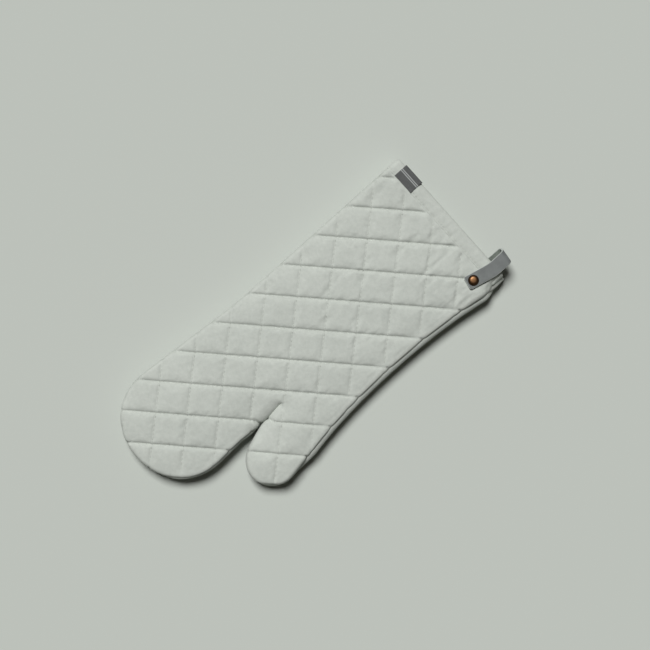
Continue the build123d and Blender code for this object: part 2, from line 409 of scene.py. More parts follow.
def edgeOf(point):
    # nearest point of the outline, the direction inwards, and how far inside the point is
    near, normal, index, distance = tree.find_nearest(point)
    inward = normal * inwardSign
    inside = (point - near).dot(inward)
    if distance > 0.05 * mm:
        inward = (point - near) / distance * (1 if inside > 0 else -1)
    return near, inward, distance if inside > 0 else -distance


def quiltedGrid(steps):
    # a grid along the rows of stitches, with rings of faces from it to the outline;
    # and where its points are, counted in squares
    lattice = latticeMatrix()
    count = 2 * quilt["cells"] * steps
    first = quilt["rings"][0] * mm
    bm = bmesh.new()
    bmesh.ops.create_grid(
        bm, x_segments=count, y_segments=count, size=1.0, matrix=lattice @ Matrix.Scale(quilt["cells"], 4))
    inside = {vert: edgeOf(vert.co)[2] > first for vert in bm.verts}
    outside = [face for face in bm.faces if not all(inside[vert] for vert in face.verts)]
    bmesh.ops.delete(bm, geom=outside, context="FACES")
    bmesh.ops.bisect_plane(
        bm, geom=bm.verts[:] + bm.edges[:] + bm.faces[:], dist=1e-7, plane_co=cuff, plane_no=(0, -1, 0),
        clear_outer=True)
    past = cuff.y + 0.01 * mm
    edges = [edge for edge in bm.edges if edge.is_boundary and max(vert.co.y for vert in edge.verts) > past]
    ring = {vert for edge in edges for vert in edge.verts}
    for distance in quilt["rings"]:
        if distance < quilt["rings"][0]:
            made = bmesh.ops.extrude_edge_only(bm, edges=edges)["geom"]
            ring = [part for part in made if isinstance(part, bmesh.types.BMVert)]
            edges = [part for part in made if isinstance(part, bmesh.types.BMEdge)]
        for vert in ring:
            near, inward = edgeOf(vert.co)[:2]
            vert.co = near + inward * distance * mm
            vert.co.z = 0
    bm.normal_update()
    bmesh.ops.reverse_faces(bm, faces=[face for face in bm.faces if face.normal.z < 0])
    back = lattice.inverted()
    return bm, [back @ vert.co for vert in bm.verts]


def slitPull(near):
    # thumb and hand bulge sideways until they meet, near the end of the slit between them; in mm
    x = (near.x - cuff.x) / mm
    y = (near.y - cuff.y) / mm
    handEnd, hand, thumb, thumbEnd = outline["corners"][3:7]
    handX = hand[0] + (handEnd[0] - hand[0]) * (y - hand[1]) / (handEnd[1] - hand[1])
    thumbX = thumb[0] + (thumbEnd[0] - thumb[0]) * (y - thumb[1]) / (thumbEnd[1] - thumb[1])
    half = (handX - thumbX) / 2
    aside = x - (handX + thumbX) / 2
    if y < hand[1] - 1 or abs(aside) > panel["slitSpare"] * half:
        return 0.0
    reach = panel["slit"]
    pressed, free = panel["slitClosed"]
    meeting = 1 - smoothStep(reach, panel["slitOpen"] * reach, half)
    closed = 1 - smoothStep(pressed * reach, free * reach, half)
    return -aside * (meeting + panel["slitPress"] / half * closed)


def besideSlit(near):
    # 1 on the outline of the slit, and 0 away from it
    x = (near.x - cuff.x) / mm
    y = (near.y - cuff.y) / mm
    end = (outline["corners"][4][0] + outline["corners"][5][0]) / 2
    aside = smoothStep(*panel["slitAside"], abs(x - end))
    return aside * smoothStep(*panel["slitStart"], y) * smoothStep(*panel["slitEnd"], y)


def edgeDrop(distance, y):
    # the panel is thinner towards the seam, but not at the cuff; all in mm
    share = 1 - min(distance / panel["dropWidth"], 1.0)
    return panel["edgeDrop"] * share * share * smoothStep(panel["tape"], panel["dropFull"], y)


def wrinkle(x, y):
    # soft folds along the mitt, in patches, and more of them near the cuff
    width, length = panel["wrinkleSize"]
    size = panel["wrinklePatch"]
    fold = noise.noise(Vector((x / width, y / length, 1.7)))
    pucker = noise.noise(Vector(((x + 0.5 * y) / (1.4 * width), (y - 0.5 * x) / (0.6 * length), 8.4)))
    patch = panel["calm"] + smoothStep(-0.25, 0.45, noise.noise(Vector((x / size, y / size, 5.2))))
    nearCuff = panel["farFolds"] + smoothStep(*panel["wrinkled"], y)
    return panel["wrinkle"] * (fold + panel["pucker"] * pucker) * patch * nearCuff


def rowDistances(square):
    # how far a point is from the nearest row of each family, in mm
    return [abs(value - round(value)) * quilt["pitch"] for value in (square.y, square.x)]


def grooveDepth(square, hole, side, inward, distance, y):
    # how far the stitches draw the cover in; all in mm
    rising, falling = rowDistances(square)
    flatRising = 1 - quilt["risingCrease"] * exp(-rising / quilt["creaseWidth"])
    flatFalling = 1 - quilt["fallingCrease"] * exp(-falling / quilt["creaseWidth"])
    groove = 1 - min(flatRising, flatFalling)
    groove += quilt["dome"] * (1 - abs(sin(pi * square.x) * sin(pi * square.y)))
    groove += quilt["hole"] * hole
    edgeEnd = quilt["frontEnd"] if side > 0 else quilt["backEnd"]
    groove *= smoothStep(*edgeEnd, distance) * smoothStep(*quilt["cuffEnd"], y)
    if side > 0:
        groove *= 1 + quilt["edgeCrease"] * besideThumb(inward, distance)
    return groove


def panelPoints(flat, square, hole, side):
    # where a point of the flat cloth lies on the padded panel: on its outside, and on its inside
    near, inward, distance = edgeOf(flat)
    distance = max(distance / mm, 0.0)
    x = (flat.x - cuff.x) / mm
    y = (flat.y - cuff.y) / mm
    roll = panel["roll"] + (panel["slitRoll"] - panel["roll"]) * besideSlit(near)
    seamAngle = acos(1 - panel["seamValley"] / roll)
    share = min(distance / roll, 1.0)
    angle = share * (pi / 2 + seamAngle) - seamAngle
    inset = roll * (1 - cos(angle)) if share < 1 else distance
    pull = slitPull(near) * cos(angle) * smoothStep(*panel["slitGrip"], share) if share < 1 else 0.0
    drop = edgeDrop(distance, y)
    top = (crestZ - seamZ) / mm - panel["rollMiddle"] - drop
    sink = panel["rollMiddle"] / sin(seamAngle)
    height = panel["rollMiddle"] + (top if angle > 0 else sink) * sin(angle)
    outwards = up * sin(angle) - inward * cos(angle)
    groove = grooveDepth(square, hole, side, inward, distance, y)
    loose = smoothStep(panel["tape"], panel["relax"], y)
    sunk = (groove - wrinkle(x, y) * smoothStep(*panel["wrinkleEdge"], distance)) * loose
    sunk += panel["squeeze"] * (1 - loose)
    fromRivet = (flat.xy - rivet.xy).length / mm
    sunk += panel["press"] * smoothStep(*panel["pressed"], fromRivet) * loose
    outer = near + (inward * inset + up * height - outwards * sunk + Vector((pull, 0, 0))) * mm
    across = smoothStep(*panel["insideAcross"], distance)
    rise = smoothStep(*panel["insideRise"], distance)
    innerInset = panel["seamValley"] + across * (panel["insideEdge"] - panel["seamValley"])
    innerInset = max(innerInset, distance) if distance > panel["insideEdge"] else innerInset
    inner = near + (inward * innerInset + up * rise * (panel["inside"] - panel["dropInside"] * drop)) * mm
    keep = smoothStep(0.0, panel["pinch"], y)
    middle = (outer + inner) / 2
    outer = middle.lerp(outer, keep) + up * seamZ
    inner = middle.lerp(inner, keep) + up * seamZ
    return outer, inner


puffing = {
    "scale": 10.0,           # cloth behaves better when it is larger
    "frames": 14,
    "pressure": 0.4,
    "growth": 0.004,
    "cap": 1.5,              # no point moves further than this
    "ceiling": 0.2,          # or rises further than this over the crest
    "cloth": {
        "quality": 6,
        "mass": 0.15,
        "tension_stiffness": 25,
        "compression_stiffness": 25,
        "shear_stiffness": 10,
        "bending_stiffness": 0.6,
        "tension_damping": 8,
        "compression_damping": 8,
        "shear_damping": 8,
        "bending_damping": 1.0,
        "air_damping": 2.0,
        "pin_stiffness": 1.0,
    },
}


def inflate(name, bm, held):
    # pressure under the cloth, which the stitches hold down
    scale = puffing["scale"]
    mesh = bpy.data.meshes.new(name)
    bm.to_mesh(mesh)
    mesh.transform(Matrix.Scale(scale, 4))
    cloth = bpy.data.objects.new(name, mesh)
    bpy.context.scene.collection.objects.link(cloth)
    cloth.vertex_groups.new(name="held").add(held, 1.0, "REPLACE")
    modifier = cloth.modifiers.new("puff", "CLOTH")
    settings = modifier.settings
    for key, value in puffing["cloth"].items():
        setattr(settings, key, value)
    settings.vertex_group_mass = "held"
    settings.shrink_min = -puffing["growth"]
    settings.use_pressure = True
    settings.uniform_pressure_force = puffing["pressure"]
    settings.effector_weights.gravity = 0
    modifier.collision_settings.use_collision = False
    modifier.point_cache.frame_start = 1
    modifier.point_cache.frame_end = puffing["frames"]
    for step in range(1, puffing["frames"] + 1):
        bpy.context.scene.frame_set(step)
    depsgraph = bpy.context.evaluated_depsgraph_get()
    moved = [vert.co / scale for vert in cloth.evaluated_get(depsgraph).data.vertices]
    bpy.data.objects.remove(cloth)
    bpy.data.meshes.remove(mesh)
    bpy.context.scene.frame_set(1)
    limit = puffing["cap"] * mm
    ceiling = crestZ + puffing["ceiling"] * mm
    for vert, new in zip(bm.verts, moved):
        move = new - vert.co
        vert.co += move.normalized() * min(move.length, limit)
        vert.co.z = min(vert.co.z, ceiling)


def onRows(square):
    # the grid's own numbers of a point, whether it is on a row, and whether it is a needle hole
    steps = quilt["steps"]
    u = round(square.x * steps)
    v = round(square.y * steps)
    exact = abs(square.x * steps - u) < 0.01 and abs(square.y * steps - v) < 0.01
    onFalling = exact and u % steps == 0
    onRising = exact and v % steps == 0
    spacing = quilt["stitchSteps"]
    hole = (onFalling and v % spacing == 0) or (onRising and u % spacing == 0)
    return (u, v) if exact else None, onFalling or onRising, hole


def makePanel(name, side):
    # one padded panel: its cover is puffed up from the flat cut, and its inside is a copy laid on the lining
    bm, squares = quiltedGrid(quilt["steps"])
    cloth = bm.verts[:]
    rows = [onRows(square) for square in squares]
    inner = []
    held = []
    sewn = {}
    for index, (vert, square, (grid, row, hole)) in enumerate(zip(cloth, squares, rows)):
        fromCuff = (vert.co.y - cuff.y) / mm
        fromEdge = edgeOf(vert.co)[2] / mm
        vert.co, inside = panelPoints(vert.co.copy(), square, hole, side)
        inner.append(inside)
        if fromEdge < quilt["heldRim"] or row or fromCuff < panel["pastTape"]:
            held.append(index)
        if row and fromEdge > stitch["fromEdge"] and fromCuff > panel["pastTape"]:
            sewn[grid] = vert
    inflate(name, bm, held)
    copied = bmesh.ops.duplicate(bm, geom=cloth + bm.edges[:] + bm.faces[:])
    for vert, inside in zip(cloth, inner):
        if not vert.is_boundary:
            copied["vert_map"][vert].co = inside
    faces = [part for part in copied["geom"] if isinstance(part, bmesh.types.BMFace)]
    bmesh.ops.reverse_faces(bm, faces=faces)
    for vert in bm.verts:
        if side < 0:
            vert.co.z = max(2 * seamZ - vert.co.z, 0.0)
        vert.co = lie(vert.co)
    quilting = {grid: vert.co.copy() for grid, vert in sewn.items()}
    bmesh.ops.remove_doubles(bm, verts=bm.verts, dist=1e-6)
    bmesh.ops.recalc_face_normals(bm, faces=bm.faces)
    piece = makePiece(f"{name}_panel", bm, coverCotton, "mitt")
    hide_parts(f"{name}_cover", f"{name}_wadding")
    print(name, "panel: points", len(cloth), "held", len(held))
    return quilting


stitch = {
    "fromEdge": 7.0,         # the rows end this far from the outline
    "thickness": 0.62,
    "share": 0.86,           # of the way from hole to hole that shows
    "lift": 0.12,
    "seamLength": 4.0,
    "seamInset": 1.3,
    "tapeLength": 3.6,
    "lot": 30,
}


def addStitch(bm, middle, along, outwards, length):
    # one stitch: a small spindle that lies on the cloth, and not under the surface that the mitt lies on
    along = along.normalized()
    across = outwards.cross(along).normalized()
    over = along.cross(across)
    turn = Matrix((across, over, along)).transposed().to_4x4()
    shape = Matrix.Diagonal((stitch["thickness"], stitch["thickness"], length, 1))
    middle.z = max(middle.z, (stitch["thickness"] + abs(along.z) * length) / 2 * mm)
    bmesh.ops.create_uvsphere(
        bm, u_segments=6, v_segments=5, radius=0.5 * mm, matrix=Matrix.Translation(middle) @ turn @ shape)


def sew(stitches):
    # all stitches of a piece; they are made in small lots, which is quicker
    whole = bmesh.new()
    mesh = bpy.data.meshes.new("lot")
    for first in range(0, len(stitches), stitch["lot"]):
        bm = bmesh.new()
        for one in stitches[first:first + stitch["lot"]]:
            addStitch(bm, *one)
        bm.to_mesh(mesh)
        bm.free()
        whole.from_mesh(mesh)
    bpy.data.meshes.remove(mesh)
    return whole


def makeQuilting(name, points, side):
    # a stitch between each two needle holes of a row
    stitches = []
    spacing = quilt["stitchSteps"]
    steps = quilt["steps"]
    for (u, v), point in points.items():
        for ahead, onRow, at in [((1, 0), v % steps == 0, u), ((0, 1), u % steps == 0, v)]:
            chain = [points.get((u + ahead[0] * n, v + ahead[1] * n)) for n in range(1, spacing + 1)]
            if onRow and at % spacing == 0 and None not in chain:
                run = chain[-1] - point
                middle = (chain[0] + chain[-2]) / 2 + up * side * stitch["lift"] * mm
                stitches.append((middle, run, up * side, run.length / mm * stitch["share"]))
    piece = makePiece(f"{name}_quilting", sew(stitches), sewingThread, "mitt")
    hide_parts(f"{name}_quilting_thread")
    print(name, "quilting: faces", len(piece.data.polygons))


def makeSeam():
    # stitches along the valley between the two panels
    bm = bmesh.new()
    face = outlineLoop(bm)
    points = [vert.co.copy() for vert in face.verts]
    bm.free()
    stitches = []
    spare = 0.0
    length = stitch["seamLength"] * mm
    for start, end in zip(points, points[1:] + points[:1]):
        run = end - start
        while spare < run.length:
            at = start + run.normalized() * spare
            spare += length
            if at.y > cuff.y + panel["pastTape"] * mm:
                inward = edgeOf(at)[1]
                middle = lie(at + inward * stitch["seamInset"] * mm + up * seamZ)
                stitches.append((middle, run, -inward, stitch["seamLength"] * stitch["share"]))
        spare -= run.length
    piece = makePiece("side_seam", sew(stitches), sewingThread, "mitt")
    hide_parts("side_seam_thread")
    print("side seam: faces", len(piece.data.polygons))


makeQuilting("front", makePanel("front", 1), 1)
makeQuilting("back", makePanel("back", -1), -1)
makeSeam()

lining = {
    "steps": 7,
    "wall": 5.9,             # where it turns up from the seam, from the outline
    "roll": 8.0,
    "level": 6.6,            # over the seam
    "underTape": 0.9,        # how much further up it is under the tape
    "pressed": 0.4,          # and round the rivet, where the strap lies under it
    "pressedWidth": (32.0, 20.0),
    "fold": 0.35,            # soft folds
    "foldScale": (70.0, 22.0),
    "thickness": 0.5,
    "flat": (0.172, 0.375),
    "cut": 0.052,            # square metres
}


def makeLining(name, side):
    # the cotton inside a panel, which turns down to the seam along its edge
    bm = quiltedGrid(lining["steps"])[0]
    scaleX, scaleY = lining["foldScale"]
    for vert in bm.verts:
        near, inward, distance = edgeOf(vert.co)
        distance = max(distance / mm, 0.0)
        fromCuff = (vert.co.y - cuff.y) / mm
        angle = min(distance / lining["roll"], 1.0) * pi / 2
        inset = lining["wall"] + (lining["roll"] - lining["wall"]) * (1 - cos(angle))
        inset = max(inset, distance)
        underTape = smoothStep(panel["pastTape"], panel["tape"], fromCuff)
        level = lining["level"] + lining["underTape"] * underTape
        level -= panel["dropInside"] * edgeDrop(distance, fromCuff)
        if side > 0:
            fromRivet = (vert.co.xy - rivet.xy).length / mm
            level += lining["pressed"] * smoothStep(*lining["pressedWidth"], fromRivet)
        folds = lining["fold"] * noise.noise(Vector((vert.co.x * scaleX, vert.co.y * scaleY, 9.1)))
        point = near + (inward * inset + up * side * (level + folds - lining["fold"]) * sin(angle)) * mm
        vert.co = lie(point + up * seamZ)
    piece = makePiece(f"{name}_lining_cloth", bm, liningCotton, "mitt")
    thicken(piece, lining["thickness"], 0.0)
    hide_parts(f"{name}_lining")
    print(name, "lining: points", len(piece.data.vertices))


makeLining("front", 1)
makeLining("back", -1)

# tape folded over the cuff's edge
tape = {
    "halfWidth": 80.3,       # its girth round the cuff
    "halfHeight": 12.5,
    "corner": 5.0,
    "taper": 0.186,          # how fast the thumb's side is drawn in
    "segments": 336,
    "way": [                 # over the edge: how far from the cuff, and how far inside the girth
        (13.0, 1.5), (13.3, 1.15), (13.1, 0.85), (12.4, 0.72), (11.7, 0.8), (11.1, 0.95), (10.5, 0.8),
        (9.6, 0.66), (8.0, 0.62), (6.0, 0.62), (4.0, 0.66), (2.6, 0.85), (1.3, 1.25), (0.3, 1.85),
        (-0.45, 2.6), (-0.85, 3.3), (-0.9, 3.9), (-0.65, 4.8), (0.0, 5.6), (1.0, 6.0), (3.0, 6.2),
        (6.0, 6.2), (9.0, 6.2), (11.1, 6.1), (12.6, 6.2),
    ],
    "thickness": 0.6,
    "stitchRow": 11.1,
    "stitchInset": 0.75,
    "pucker": 0.45,
    "puckerSize": (4.5, 16.0),
    "puckerInset": 0.6,      # its outer side puckers
    "puckerDepth": (2.6, 0.0),
    "puckerStart": (-1.0, 3.0),
    "labelHolds": (12.0, 16.0),  # but not under the label, from its middle
    "labelSpare": 1.0,       # no stitch shows this near to it
    "above": 0.35,           # its middle stays this far over the surface that it lies on
    "length": 0.345,
    "width": 0.031,
}


def girthWalk():
    # straight runs and quarter turns round the cuff, from the middle of the front: length, degrees turned
    corner = tape["corner"]
    across = tape["halfWidth"] - corner
    quarter = (pi / 2 * corner, 90.0)
    edge = [quarter, (2 * (tape["halfHeight"] - corner), 0.0), quarter]
    return [(across, 0.0), *edge, (2 * across, 0.0), *edge, (across, 0.0)]


girthLength = sum(length for length, turn in girthWalk())


def girth(share):
    # a point round the cuff, in mm from its middle, and the direction outwards
    left = share % 1.0 * girthLength
    at = Vector((0, 0, tape["halfHeight"]))
    heading = 0.0
    for length, turn in girthWalk():
        step = min(left, length)
        turned = radians(turn) * step / length
        ahead = Vector((cos(heading), 0, -sin(heading)))
        aside = Vector((-sin(heading), 0, -cos(heading)))
        if turn:
            at += tape["corner"] * (ahead * sin(turned) + aside * (1 - cos(turned)))
        else:
            at += ahead * step
        heading += turned
        left -= step
        if left <= 0:
            break
    return at, Vector((sin(heading), 0, cos(heading)))


def tapePoint(share, fromCuff, inset):
    # a point of the tape as it lies, and the direction outwards
    at, outwards = girth(share)
    width, length = tape["puckerSize"]
    stretch = noise.noise(Vector((share * girthLength / width, fromCuff / length, 3.3)))
    free = smoothStep(*tape["puckerDepth"], abs(inset - tape["puckerInset"]))
    free *= smoothStep(*tape["puckerStart"], fromCuff)
    free *= smoothStep(*tape["labelHolds"], abs(at.x - outline["labelMiddle"]))
    point = at - outwards * (inset - tape["pucker"] * stretch * free)
    if point.x < 0:
        point.x *= 1 - tape["taper"] * max(fromCuff, 0.0) / tape["halfWidth"]
    at = lie(place(point.x, fromCuff) + up * (seamZ + point.z * mm))
    at.z = max(at.z, tape["above"] * mm)
    return at, outwards


def makeBinding():
    bm = bmesh.new()
    around = bm.verts.layers.float.new("around")
    ring = bmesh.ops.create_circle(bm, segments=tape["segments"], radius=1.0)["verts"]
    for index, vert in enumerate(ring):
        vert[around] = index / tape["segments"]
    edges = bm.edges[:]
    for stage, (fromCuff, inset) in enumerate(tape["way"]):
        if stage:
            made = bmesh.ops.extrude_edge_only(bm, edges=edges)["geom"]
            ring = [part for part in made if isinstance(part, bmesh.types.BMVert)]
            edges = [part for part in made if isinstance(part, bmesh.types.BMEdge)]
        for vert in ring:
            vert.co = tapePoint(vert[around], fromCuff, inset)[0]
    bmesh.ops.recalc_face_normals(bm, faces=bm.faces)
    piece = makePiece("cuff_tape", bm, bindingTape, "mitt")
    thicken(piece, tape["thickness"], 0.0)
    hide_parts("cuff_binding")
    print("cuff tape: points", len(piece.data.vertices))


def makeBindingThread():
    stitches = []
    count = round(girthLength / stitch["tapeLength"])
    row = tape["stitchRow"]
    inset = tape["stitchInset"]
    spare = tape["labelSpare"] * mm
    for index in range(count):
        share = (index + 0.5) / count
        middle, outwards = tapePoint(share, row, inset - tape["thickness"] / 2)
        before = tapePoint(share - 0.25 / count, row, inset)[0]
        after = tapePoint(share + 0.25 / count, row, inset)[0]
        underLabel = labelLow.x - spare < middle.x < labelHigh.x + spare and middle.z > seamZ
        if not underLabel:
            stitches.append((middle, after - before, outwards, stitch["tapeLength"] * stitch["share"]))
    piece = makePiece("tape_stitches", sew(stitches), sewingThread, "mitt")
    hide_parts("binding_thread")
    print("tape stitches: faces", len(piece.data.polygons))


makeBinding()
makeBindingThread()

label = {
    "reach": 13.0,           # from the cuff's edge to its ends
    "nose": 2.3,             # how far its fold stands out
    "top": 24.15,
    "bottom": 17.9,
    "topLeg": (20.0, 21.0),  # what is higher than this is on the front
    "thickness": 0.5,
    "flat": (0.023, 0.035),
    "segments": (20, 72),
    "curl": 0.5,             # how far its corners stand off
    "curlAcross": (0.32, 0.5),
    "curlAlong": (9.0, 13.0),
    "wave": 0.18,
    "dark": (0.060, 0.063, 0.062, 1),
    "light": (0.115, 0.120, 0.118, 1),
    "stripe": (0.42, 0.44, 0.43, 1),
    "stripes": (3.2, 5.0),   # from the cuff's edge
    "stripeWidth": 0.7,
    "shadeScale": 700.0,
    "rib": 0.00045,
}


def labelMaterial():
    material, wire = newMaterial("labelWeave")
    coords = objectCoords(wire)
    parts = axes(wire, coords, middle=cuff)
    ribs = wire.math("SINE", parts[1] * (2 * pi / label["rib"])) * 0.5 + 0.5
    twill = wire.math("SINE", (parts[0] + parts[1]) * (2 * pi / label["rib"])) * 0.5 + 0.5
    shade = fuzz(wire, coords, label["shadeScale"], 2.0, 0.6)
    tint = spread(wire, twill * 0.35 + shade * 0.65, 0.25, 0.75)
    colour = mixColour(wire, tint, label["dark"], label["light"])
    width = label["stripeWidth"] * mm
    onTop = spread(wire, parts[2], *(height * mm for height in label["topLeg"]))
    for middle in label["stripes"]:
        away = wire.math("ABSOLUTE", parts[1] - middle * mm)
        onStripe = 1.0 - spread(wire, away, 0.4 * width, 0.6 * width)
        colour = mixColour(wire, onStripe * onTop, colour, label["stripe"])
    finishMaterial(wire, {
        "Base Color": colour,
        "Roughness": 0.7,
        "Sheen Weight": 0.08,
        "Specular IOR Level": 0.3,
        "Normal": bumped(wire, 0.5, ribs * 0.00008 + shade * 0.0001),
    })
    return material


def labelWay(length):
    # along the label from its end on the front, over the fold, to its end inside the cuff
    half = (label["top"] - label["bottom"]) / 2
    leg = label["reach"]
    nose = pi / 2 * (half + label["nose"])
    total = 2 * leg + nose
    at = length * total
    if at < leg:
        return label["reach"] - at, label["top"]
    if at > leg + nose:
        return at - leg - nose, label["bottom"]
    angle = (at - leg) / nose * pi
    return -label["nose"] * sin(angle), label["bottom"] + half * (1 + cos(angle))


def makeLabel():
    bm = bmesh.new()
    bmesh.ops.create_grid(bm, x_segments=label["segments"][0], y_segments=label["segments"][1], size=0.5)
    width = labelHigh.x - labelLow.x
    for vert in bm.verts:
        across = vert.co.x
        fromCuff, z = labelWay(vert.co.y + 0.5)
        curl = label["curl"] * smoothStep(*label["curlAcross"], abs(across))
        curl *= smoothStep(*label["curlAlong"], fromCuff)
        wave = label["wave"] * noise.noise(Vector((across * 3, fromCuff / 5, 2.2)))
        lift = (curl + wave) * (1 if z > label["topLeg"][1] else -1)
        vert.co = place(outline["labelMiddle"] + across * width / mm, fromCuff, z + lift)
    bmesh.ops.recalc_face_normals(bm, faces=bm.faces)
    piece = makePiece("folded_label", bm, labelMaterial(), "mitt")
    thicken(piece, label["thickness"], 0.0)
    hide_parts("woven_label")
    print("label: points", len(piece.data.vertices))


makeLabel()

strap = {
    "width": 14.0,
    "thickness": 1.8,
    "tail": 7.0,             # from the rivet to the cut ends
    "reach": 41.0,           # from the rivet to the outside of the fold
    "corner": 1.6,           # the cut ends' corners are rounded
    "cornerLength": 4.0,
    "turn": 13.0,            # degrees that the front leg has turned to the thumb's side, at the rivet
    "endTurn": -1.0,         # and past the cuff, where it has bent back
    "bend": (14.0, 30.0),    # where it bends, from the rivet
    "bendSteps": 24,
    "rearTurn": 1.5,         # degrees that the leg inside the cuff has turned, which is straight
    "sag": 0.4,              # how far that leg hangs away from the cloth over it
    "sagStart": (6.0, 14.0),
    "skew": 0.12,            # the fold is not quite square: its reach per mm across
    "wave": 0.12,            # it is not quite flat, past the rivet
    "waveSize": (9.0, 14.0),
    "waveStart": 6.0,
    "segments": (12, 120),
    "hole": 2.05,
    "holeDepth": 60.0,
    "bevel": 0.5,
    "grainScale": 1500.0,
    "poreScale": 2600.0,
    "cloudScale": 120.0,
    "edgeScale": 900.0,
    "fleshScale": 500.0,
    "dark": (0.117, 0.127, 0.124, 1),
    "light": (0.170, 0.184, 0.179, 1),
    # the cut edges are paler: partly the raw leather's own tone, partly painted highlight for the light they
    # catch
    "edgeDark": (0.33, 0.355, 0.325, 1),
    "edgeLight": (0.50, 0.53, 0.51, 1),
    "fleshDark": (0.085, 0.10, 0.085, 1),
    "fleshLight": (0.22, 0.245, 0.215, 1),
}


def leatherMaterial():
    material, wire = newMaterial("strapLeather")
    coords = objectCoords(wire)
    cells = {"Vector": coords, "Scale": strap["grainScale"]}
    grain = wire.node("TexVoronoi", {"feature": "DISTANCE_TO_EDGE"}, cells)
    pores = fuzz(wire, coords, strap["poreScale"], 2.0, 0.6)
    cloud = fuzz(wire, coords, strap["cloudScale"], 3.0, 0.6)
    tint = spread(wire, cloud * 0.75 + pores * 0.25, 0.3, 0.7)
    height = wire.math("MINIMUM", grain, 0.2) * 0.0004 + pores * 0.00006
    finishMaterial(wire, {
        "Base Color": mixColour(wire, tint, strap["dark"], strap["light"]),
        "Roughness": 0.42 + cloud * 0.25,
        "Specular IOR Level": 0.4,
        "Normal": bumped(wire, 0.5, height),
    })
    return material


def fibreMaterial(name, dark, light, scale):
    # cut or rough leather, with its fibres showing
    material, wire = newMaterial(name)
    coords = objectCoords(wire)
    fibre = fuzz(wire, coords, scale, 4.0, 0.7)
    cloud = fuzz(wire, coords, scale / 6, 2.0, 0.5)
    tint = spread(wire, fibre * 0.6 + cloud * 0.4, 0.3, 0.7)
    finishMaterial(wire, {
        "Base Color": mixColour(wire, tint, dark, light),
        "Roughness": 0.9,
        "Specular IOR Level": 0.15,
        "Normal": bumped(wire, 0.7, fibre * 0.0002),
    })
    return material


def strapWay(length, across):
    # along the outside of the strap, from its end on the front, round the fold, to its end inside:
    # how far from the rivet, and how high
    high = (strapHigh.z - strapLow.z) / mm
    radius = high / 2
    foldStart = strap["reach"] + strap["skew"] * across - radius
    leg = foldStart + strap["tail"]
    at = length * (2 * leg + pi * radius)
    if at < leg:
        return at - strap["tail"], high
    if at > leg + pi * radius:
        return 2 * leg + pi * radius - at - strap["tail"], 0.0
    angle = (at - leg) / radius
    return foldStart + radius * sin(angle), radius * (1 + cos(angle))


def strapPlan(reach, front):
    # seen from above: the middle of the strap that far from the rivet, and the direction across it
    start = strap["rearTurn"] + (strap["turn"] - strap["rearTurn"]) * front
    end = strap["rearTurn"] + (strap["endTurn"] - strap["rearTurn"]) * front
    at = Vector((0, 0, 0))
    for step in range(strap["bendSteps"]):
        bent = smoothStep(*strap["bend"], reach * (step + 0.5) / strap["bendSteps"])
        at += direction(-90 - start - (end - start) * bent) * reach / strap["bendSteps"]
    return at, direction(-start - (end - start) * smoothStep(*strap["bend"], reach))


def cutRivetHole(piece):
    # takes the rivet's post out of both legs, and leaves a plain mesh
    bm = bmesh.new()
    radius = strap["hole"] * mm
    bmesh.ops.create_cone(
        bm, cap_ends=True, segments=32, radius1=radius, radius2=radius, depth=strap["holeDepth"] * mm,
        matrix=Matrix.Translation(rivet))
    mesh = bpy.data.meshes.new("hole")
    bm.to_mesh(mesh)
    bm.free()
    cutter = bpy.data.objects.new("hole", mesh)
    bpy.context.scene.collection.objects.link(cutter)
    modifier = piece.modifiers.new("hole", "BOOLEAN")
    modifier.object = cutter
    modifier.operation = "DIFFERENCE"
    depsgraph = bpy.context.evaluated_depsgraph_get()
    finished = bpy.data.meshes.new_from_object(piece.evaluated_get(depsgraph))
    piece.modifiers.clear()
    piece.data = finished
    bpy.data.objects.remove(cutter)


def makeStrap():
    bm = bmesh.new()
    bmesh.ops.create_grid(bm, x_segments=strap["segments"][0], y_segments=strap["segments"][1], size=0.5)
    radius = strap["corner"]
    high = (strapHigh.z - strapLow.z) / mm
    waveLength, waveWidth = strap["waveSize"]
    for vert in bm.verts:
        across = vert.co.x * strap["width"]
        reach, z = strapWay(vert.co.y + 0.5, across)
        excess = max(abs(across) - strap["width"] / 2 + radius, 0.0)
        rounded = radius - sqrt(max(radius * radius - excess * excess, 0.0))
        reach += rounded * smoothStep(-strap["tail"] + strap["cornerLength"], -strap["tail"], reach)
        front = smoothStep(0.0, high, z)
        middle, aside = strapPlan(reach, front)
        wave = strap["wave"] * noise.noise(Vector((reach / waveLength, across / waveWidth, 7.7)))
        wave *= reach > strap["waveStart"]
        sag = strap["sag"] * (1 - front) * smoothStep(*strap["sagStart"], reach)
        point = middle + aside * across + up * (z + wave - sag)
        vert.co = Vector((rivet.x, rivet.y, strapLow.z)) + point * mm
    bmesh.ops.recalc_face_normals(bm, faces=bm.faces)
    highest = max(bm.faces, key=lambda face: face.calc_center_median().z)
    if highest.normal.z < 0:
        bmesh.ops.reverse_faces(bm, faces=bm.faces)
    piece = makePiece("leather_loop", bm, leatherMaterial(), "loop")
    # the rim faces and their rounding get this paler leather, which holds painted highlight along the cut
    # edges
    litCutEdge = fibreMaterial("litCutEdge", strap["edgeDark"], strap["edgeLight"], strap["edgeScale"])
    fleshSide = fibreMaterial("fleshSide", strap["fleshDark"], strap["fleshLight"], strap["fleshScale"])
    piece.data.materials.append(litCutEdge)
    piece.data.materials.append(fleshSide)
    wall = thicken(piece, strap["thickness"], -1.0)
    wall.material_offset_rim = 1
    wall.material_offset = 2
    bevel = piece.modifiers.new("rounded", "BEVEL")
    bevel.width = strap["bevel"] * mm
    bevel.segments = 2
    bevel.limit_method = "ANGLE"
    bevel.material = 1
    cutRivetHole(piece)
    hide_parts("hanging_loop")
    print("strap: faces", len(piece.data.polygons))


makeStrap()

